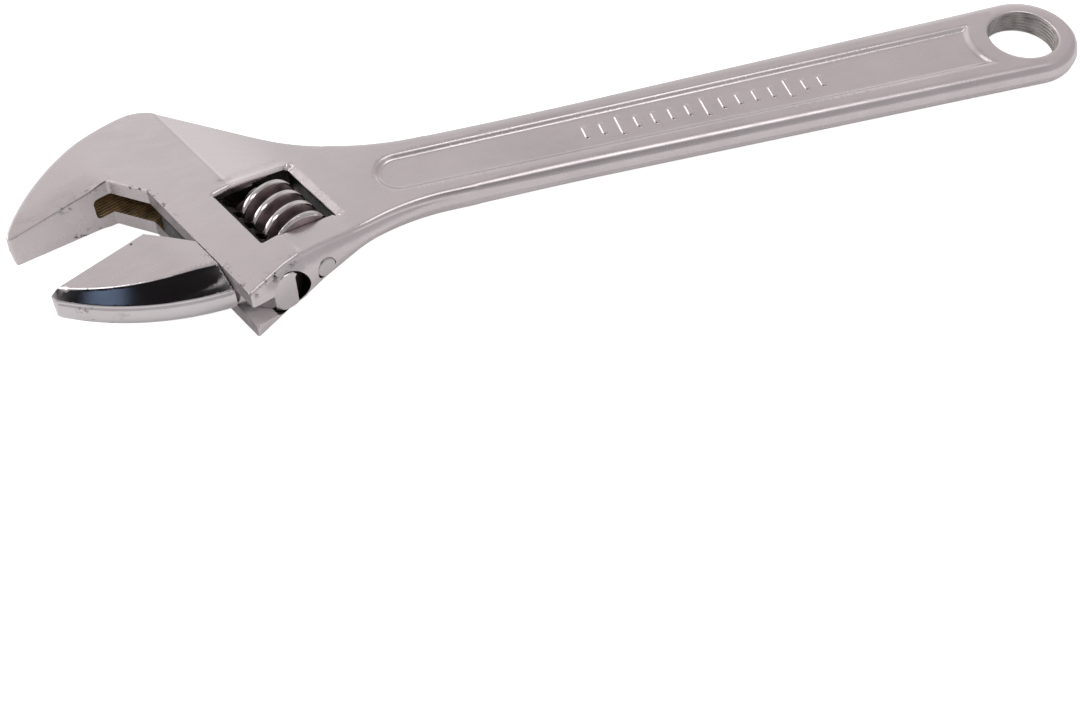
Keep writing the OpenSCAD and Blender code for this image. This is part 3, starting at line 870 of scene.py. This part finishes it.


def chrome(name, colour, rough, wave, pits=1.0):
    """Chrome plate over a forging: soft waves, faint smears, dark pits, chips along the edges, and a
    painted sheen on the head's slope. It reads the attributes that mark_edges and mark_painted_sheen store."""
    mat, tree, shader = new_material(name)
    where = node(tree, "ShaderNodeTexCoord").outputs["Object"]
    cloud = noise(tree, where, 55, 4)
    smear = noise(tree, where, 160, 3, (1, 3, 1))
    tint = ramp(tree, cloud, [(0.3, tuple(c * 0.93 for c in colour)), (0.7, colour)])
    # Painted sheen: the chrome is drawn lighter where the head slopes to the handle.
    slope = node(tree, "ShaderNodeAttribute", attribute_name="slope").outputs["Fac"]
    lighter = tuple(min(1, c * SLOPE_SHEEN) for c in colour)
    tint = mix(tree, slope, tint, lighter)
    cells = node(tree, "ShaderNodeTexVoronoi", {"Vector": where, "Scale": 170.0, "Randomness": 1.0})
    spot_size = noise(tree, where, 70, 2)
    near = ramp(tree, cells.outputs["Distance"], [(0.03, 1.0), (0.075, 0.0)])
    some = ramp(tree, spot_size, [(0.60, 0.0), (0.66, 1.0)])
    spot = math_node(tree, "MULTIPLY", near, some)
    spot = math_node(tree, "MULTIPLY", spot, pits, clamp=True)
    edge = node(tree, "ShaderNodeAttribute", attribute_name="edge").outputs["Fac"]
    worn = ramp(tree, noise(tree, where, 420, 5, roughness=0.7), [(0.55, 0.0), (0.60, 1.0)])
    worn_here = ramp(tree, noise(tree, where, 60, 2), [(0.50, 0.0), (0.58, 1.0)])
    worn = math_node(tree, "MULTIPLY", worn, worn_here)
    worn = math_node(tree, "MULTIPLY", worn, edge)
    spot = math_node(tree, "MAXIMUM", spot, worn)
    tree.links.new(mix(tree, spot, tint, PIT_COLOUR), shader.inputs["Base Color"])
    roughness = node(tree, "ShaderNodeMapRange", {0: smear, 1: 0.3, 2: 0.7, 3: rough * 0.85, 4: rough * 1.2})
    tree.links.new(roughness.outputs[0], shader.inputs["Roughness"])
    shader.inputs["Metallic"].default_value = 1.0
    waves = noise(tree, where, 38, 2)
    grain = noise(tree, where, 1500, 2)
    bump = node(tree, "ShaderNodeBump", {"Height": waves, "Strength": wave, "Distance": 0.0006})
    fine = node(tree, "ShaderNodeBump", {"Height": grain, "Strength": 0.04, "Distance": 0.0001,
                                         "Normal": bump.outputs[0]})
    tree.links.new(fine.outputs[0], shader.inputs["Normal"])
    return mat


def machined_steel(name, colour, marks=0.0, bands="X", spacing=330.0, lip_colour=None):
    """Machined steel with clouds of grease and dust, and marks of the cutter across v or Z. Some of
    the colours it is given are painted shade.
    If it has a lip colour, it turns to that towards the lip, and the marks fade."""
    mat, tree, shader = new_material(name)
    where = node(tree, "ShaderNodeTexCoord").outputs["Object"]
    cloud = noise(tree, where, 260, 4)
    tint = ramp(tree, cloud, [(0.32, tuple(c * 0.5 for c in colour)), (0.68, colour)])
    v_to_x = (0, 0, math.atan2(-V_AXIS[1], V_AXIS[0]))
    turned = node(tree, "ShaderNodeMapping", {"Vector": where, "Rotation": v_to_x}).outputs[0]
    grooves = node(tree, "ShaderNodeTexWave", {"Vector": turned, "Scale": spacing, "Distortion": 0.6,
                                               "Detail": 1.0, "Detail Scale": 2.0}, bands_direction=bands)
    marked = grooves.outputs["Fac"]
    if lip_colour:
        along = node(tree, "ShaderNodeSeparateXYZ", {0: turned}).outputs["X"]
        low, high = ((float(CORNER @ V_AXIS) + v) * MM for v in (LIP_V - 26, LIP_V - 6))
        near_lip = node(tree, "ShaderNodeMapRange", {0: along, 1: low, 2: high},
                        interpolation_type="SMOOTHSTEP").outputs[0]
        tint = mix(tree, near_lip, tint, lip_colour)
        grooved = node(tree, "ShaderNodeMapRange", {0: near_lip, 3: 1.0, 4: 0.0}).outputs[0]
        marked = math_node(tree, "MULTIPLY", marked, grooved)
    tree.links.new(tint, shader.inputs["Base Color"])
    rough = node(tree, "ShaderNodeMapRange", {0: cloud, 1: 0.3, 2: 0.7, 3: 0.3, 4: 0.6})
    tree.links.new(rough.outputs[0], shader.inputs["Roughness"])
    shader.inputs["Metallic"].default_value = 0.85
    bump = node(tree, "ShaderNodeBump", {"Height": marked, "Strength": 0.15 + marks, "Distance": 0.0003})
    tree.links.new(bump.outputs[0], shader.inputs["Normal"])
    return mat


def mark_edges(obj, height, loop, reach):
    """Stores how near each point of the head is to its outer edges, where the plating chips off."""
    at = np.array([v.co for v in obj.data.vertices]) / MM
    d, _ = distance(at[:, :2], loop, np.roll(loop, -1, 0))
    below = height(at[:, :2]) - np.abs(at[:, 2])
    near = np.clip(1 - d / reach, 0, 1) * np.clip(1.5 - below / reach, 0, 1)
    near = near * smoothstep(34, 24, head_uv(at)[0])
    attribute = obj.data.attributes.new("edge", "FLOAT", "POINT")
    attribute.data.foreach_set("value", near.astype(np.float32))


def mark_painted_sheen(obj):
    """Stores where the head slopes down to the handle, where the chrome is painted lighter as a sheen."""
    at = np.array([v.co for v in obj.data.vertices]) / MM
    u, v = head_uv(at)
    slope = smoothstep(BAND_U, BAND_U + 0.7, u) * smoothstep(BAND_U + SLOPE_RUN + 8, BAND_U + 5, u)
    slope = slope * smoothstep(1, 4, np.abs(at[:, 2])) * smoothstep(WINDOW_V[1], WINDOW_V[0] - 2, v)
    attribute = obj.data.attributes.new("slope", "FLOAT", "POINT")
    attribute.data.foreach_set("value", slope.astype(np.float32))


def paint(obj, material, chosen):
    """Gives a second material to the faces that chosen(centres, normals) picks, in millimetres."""
    centres = np.array([f.center for f in obj.data.polygons]) / MM
    normals = np.array([f.normal for f in obj.data.polygons])
    obj.data.materials.append(material)
    index = len(obj.data.materials) - 1
    for face, pick in zip(obj.data.polygons, chosen(centres, normals)):
        if pick:
            face.material_index = index


def coat(obj, material):
    """Gives a mesh its first material."""
    obj.data.materials.append(material)
    return obj


def stand_for(obj, body, slot, *nodes):
    """Makes an object ride a moving body in place of the nodes it stands for."""
    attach(obj, body)
    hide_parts(*nodes)
    return obj


def window_walls_in_shade(centres, normals):
    """The window's walls below their rims, painted near black as shade, with some grease."""
    u, v = head_uv(centres)
    right = u > WORM_U + WINDOW_HALF - 0.1
    return across_window(u, v) & (np.abs(centres[:, 2]) < np.where(right, 3.6, 4.8))


def in_hang_hole(centres, normals):
    return (np.hypot(centres[:, 0], centres[:, 1]) < HOLE_R + 0.2) & (np.abs(normals[:, 2]) < 0.5)


def on_slide_face(centres, normals):
    u, v = head_uv(centres)
    facing = normals[:, :2] @ U_AXIS < -0.9
    return facing & (np.abs(u - RELIEF_U) < 0.4) & (v > RELIEF_V) & (np.abs(centres[:, 2]) > SLOT_HALF)


# The thread's valleys and the worm's end faces, which are painted darker as shade.
def in_thread(centres, normals):
    u, v = head_uv(centres)
    r = np.hypot(u - WORM_U, centres[:, 2])
    facing_end = np.abs(normals[:, :2] @ V_AXIS) > 0.95
    return (r < WORM_ROOT_R + 0.5 * (WORM_R - WORM_ROOT_R)) | facing_end


forged = chrome("forged_chrome", (0.645, 0.595, 0.602), 0.28, 0.14)
polished = chrome("polished_chrome", (0.65, 0.615, 0.625), 0.12, 0.14)
satin = chrome("satin_chrome", (0.64, 0.595, 0.60), 0.26, 0.12)
turned = chrome("turned_chrome", (0.56, 0.525, 0.525), 0.12, 0.12, 0.4)
pin_steel = chrome("pin_steel", (0.60, 0.56, 0.56), 0.30, 0.1, 0.6)
spring_steel = chrome("spring_steel", (0.36, 0.34, 0.33), 0.35, 0.05, 0.3)
slot_steel = machined_steel("slot_steel", (0.84, 0.65, 0.40), 0.8, lip_colour=(0.88, 0.84, 0.84))
# Near black steel: painted shade in the bore, on the rod and its teeth, round the pin and on the window's
# walls, with some grease.
grease_and_shade_steel = machined_steel("grease_and_shade_steel", (0.035, 0.03, 0.027))
# Brownish steel painted as shade in the worm's valleys and on its end faces.
thread_shade_steel = machined_steel("thread_shade_steel", (0.48, 0.39, 0.39))
ground_steel = machined_steel("ground_steel", (0.50, 0.45, 0.46), 0.3)
bored_steel = machined_steel("bored_steel", (0.60, 0.56, 0.54), 1.0, "Z", 300.0)


def flat_of_blade(centres, normals):
    u, v = head_uv(centres)
    return (np.abs(normals[:, 2]) > 0.97) & (u < BLADE_BACK_U + 0.1)


body = stand_for(make_body(), "frame", "forged_chrome", "wrench_body")
mark_edges(body, body_height, body_outline(2.0), 1.8)
mark_painted_sheen(body)
paint(body, ground_steel, on_slide_face)
paint(body, bored_steel, in_hang_hole)
# Paints the window's walls near black, as shade.
paint(body, grease_and_shade_steel, window_walls_in_shade)
jaw = stand_for(make_jaw(), "jaw", "jaw_chrome", "movable_jaw")
mark_edges(jaw, blade_height, blade_outline(2.0), 2.2)
paint(jaw, satin, flat_of_blade)
worm = stand_for(coat(make_worm(), turned), "knurl", "worm_chrome", "worm")
# Paints the worm's valleys and end faces darker, as shade.
paint(worm, thread_shade_steel, in_thread)
stand_for(coat(make_pin(), pin_steel), "frame", "pin_steel", "worm_pin")
stand_for(coat(make_spring(), spring_steel), "frame", "spring_steel", "worm_spring")


# ---------------------------------------------------------------- table, lights and camera

def make_table():
    """A pale table top, tilted so that the wrench rests on its worm and the end of its handle."""
    worm_x = head_point(WORM_U, WORM_V + WORM_LEN / 2)[0]
    rest_x = EYE_R - 2
    slope = (WORM_R - HANDLE_HALF) / (rest_x - worm_x)
    half = 2.0
    mesh = bpy.data.meshes.new("table_top")
    corners = [(x * half, y * half, -WORM_R * MM + (x * half - worm_x * MM) * slope)
               for x, y in ((-1, -1), (1, -1), (1, 1), (-1, 1))]
    mesh.from_pydata(corners, [], [(0, 1, 2, 3)])
    obj = bpy.data.objects.new("table_top", mesh)
    bpy.context.scene.collection.objects.link(obj)
    mat, tree, shader = new_material("white_table")
    where = node(tree, "ShaderNodeTexCoord").outputs["Object"]
    tone = ramp(tree, noise(tree, where, 3, 2), [(0.3, (0.90, 0.90, 0.895)), (0.7, (0.93, 0.93, 0.93))])
    tree.links.new(tone, shader.inputs["Base Color"])
    shader.inputs["Roughness"].default_value = 0.7
    tree.links.new(tone, shader.inputs["Emission Color"])
    seen = node(tree, "ShaderNodeLightPath").outputs["Is Camera Ray"]
    lift = node(tree, "ShaderNodeMapRange", {0: seen, 3: 0.27, 4: 0.9})
    tree.links.new(lift.outputs[0], shader.inputs["Emission Strength"])
    mesh.materials.append(mat)


def area_light(name, position, size, power):
    data = bpy.data.lights.new(name, "AREA")
    data.shape = "RECTANGLE"
    data.size, data.size_y = size
    data.energy = power
    obj = bpy.data.objects.new(name, data)
    obj.location = position
    aim = Vector((-0.14, 0, 0)) - Vector(position)
    obj.rotation_euler = aim.to_track_quat("-Z", "Y").to_euler()
    bpy.context.scene.collection.objects.link(obj)


def patch(tree, where, centre, inner, outer):
    """1 in a round patch of the sky about a direction, falling to 0 at the outer angle."""
    length = math.hypot(*centre)
    centre = tuple(c / length for c in centre)
    low, high = (math.cos(math.radians(angle)) for angle in (outer, inner))
    dot = node(tree, "ShaderNodeVectorMath", {0: where, 1: centre}, operation="DOT_PRODUCT").outputs["Value"]
    return node(tree, "ShaderNodeMapRange", {0: dot, 1: low, 2: high},
                interpolation_type="SMOOTHSTEP").outputs[0]


def make_world():
    """A pale studio, lighter behind the object, with a lamp at the far left, a dark ceiling above
    the camera and a dim blue window in it."""
    world = bpy.data.worlds.new("studio")
    world.use_nodes = True
    tree = world.node_tree
    back = tree.nodes["Background"]
    where = node(tree, "ShaderNodeTexCoord").outputs["Generated"]
    parts = node(tree, "ShaderNodeSeparateXYZ", {0: where})
    depth = node(tree, "ShaderNodeMapRange", {0: parts.outputs["Y"], 1: -1.0, 2: 1.0}).outputs[0]
    tone = ramp(tree, depth, [(0.0, (0.60, 0.59, 0.60)), (0.60, (0.56, 0.54, 0.55)),
                              (0.75, (0.58, 0.55, 0.56)), (0.825, (0.72, 0.68, 0.69)),
                              (0.85, (0.84, 0.80, 0.81)), (0.88, (1.06, 1.01, 1.02)),
                              (0.925, (1.45, 1.38, 1.39)), (1.0, (1.6, 1.53, 1.54))], "B_SPLINE")
    across = node(tree, "ShaderNodeMapRange", {0: parts.outputs["X"], 1: -0.2, 2: 0.6}).outputs[0]
    side = ramp(tree, across, [(0.12, 1.0), (0.38, 0.96), (0.47, 0.78), (0.62, 0.72),
                               (0.84, 1.05), (1.0, 1.1)], "B_SPLINE")
    tone = node(tree, "ShaderNodeMix", {0: 1.0, 6: tone, 7: side}, data_type="RGBA",
                blend_type="MULTIPLY").outputs[2]
    lamp = patch(tree, where, (-0.76, 0.60, 0.24), 6, 22)
    tone = mix(tree, lamp, tone, (3.4, 3.3, 3.2))
    ceiling = patch(tree, where, (-0.31, -0.52, 0.80), 24, 30)
    tone = mix(tree, ceiling, tone, (0.012, 0.011, 0.012))
    window = patch(tree, where, (-0.495, -0.465, 0.73), 2, 8)
    tone = mix(tree, window, tone, (0.16, 0.22, 0.33))
    tree.links.new(tone, back.inputs["Color"])
    back.inputs["Strength"].default_value = 1.0
    bpy.context.scene.world = world


CAMERA_AT = (-0.24357, -0.30985, 0.30158)
CAMERA_TURN = (40.0655, -1.1034, -19.0422)      # in degrees
CAMERA_LENS = 53.96
CAMERA_SHIFT = (-0.0536, -0.0042)


def make_camera():
    """The camera that sees the wrench as the photograph does."""
    data = bpy.data.cameras.new("photo_view")
    data.sensor_width = 36
    data.lens = CAMERA_LENS
    data.shift_x, data.shift_y = CAMERA_SHIFT
    data.clip_start = 0.01
    data.dof.use_dof = False
    obj = bpy.data.objects.new("photo_view", data)
    obj.location = CAMERA_AT
    obj.rotation_euler = [math.radians(a) for a in CAMERA_TURN]
    bpy.context.scene.collection.objects.link(obj)
    bpy.context.scene.camera = obj


make_table()
make_world()
make_camera()
area_light("left_softbox", (-0.85, 0.30, 1.20), (0.4, 0.5), 1.6)
area_light("right_softbox", (0.23, 0.10, 1.32), (0.6, 0.6), 2.0)
bpy.context.scene.view_settings.view_transform = "Standard"
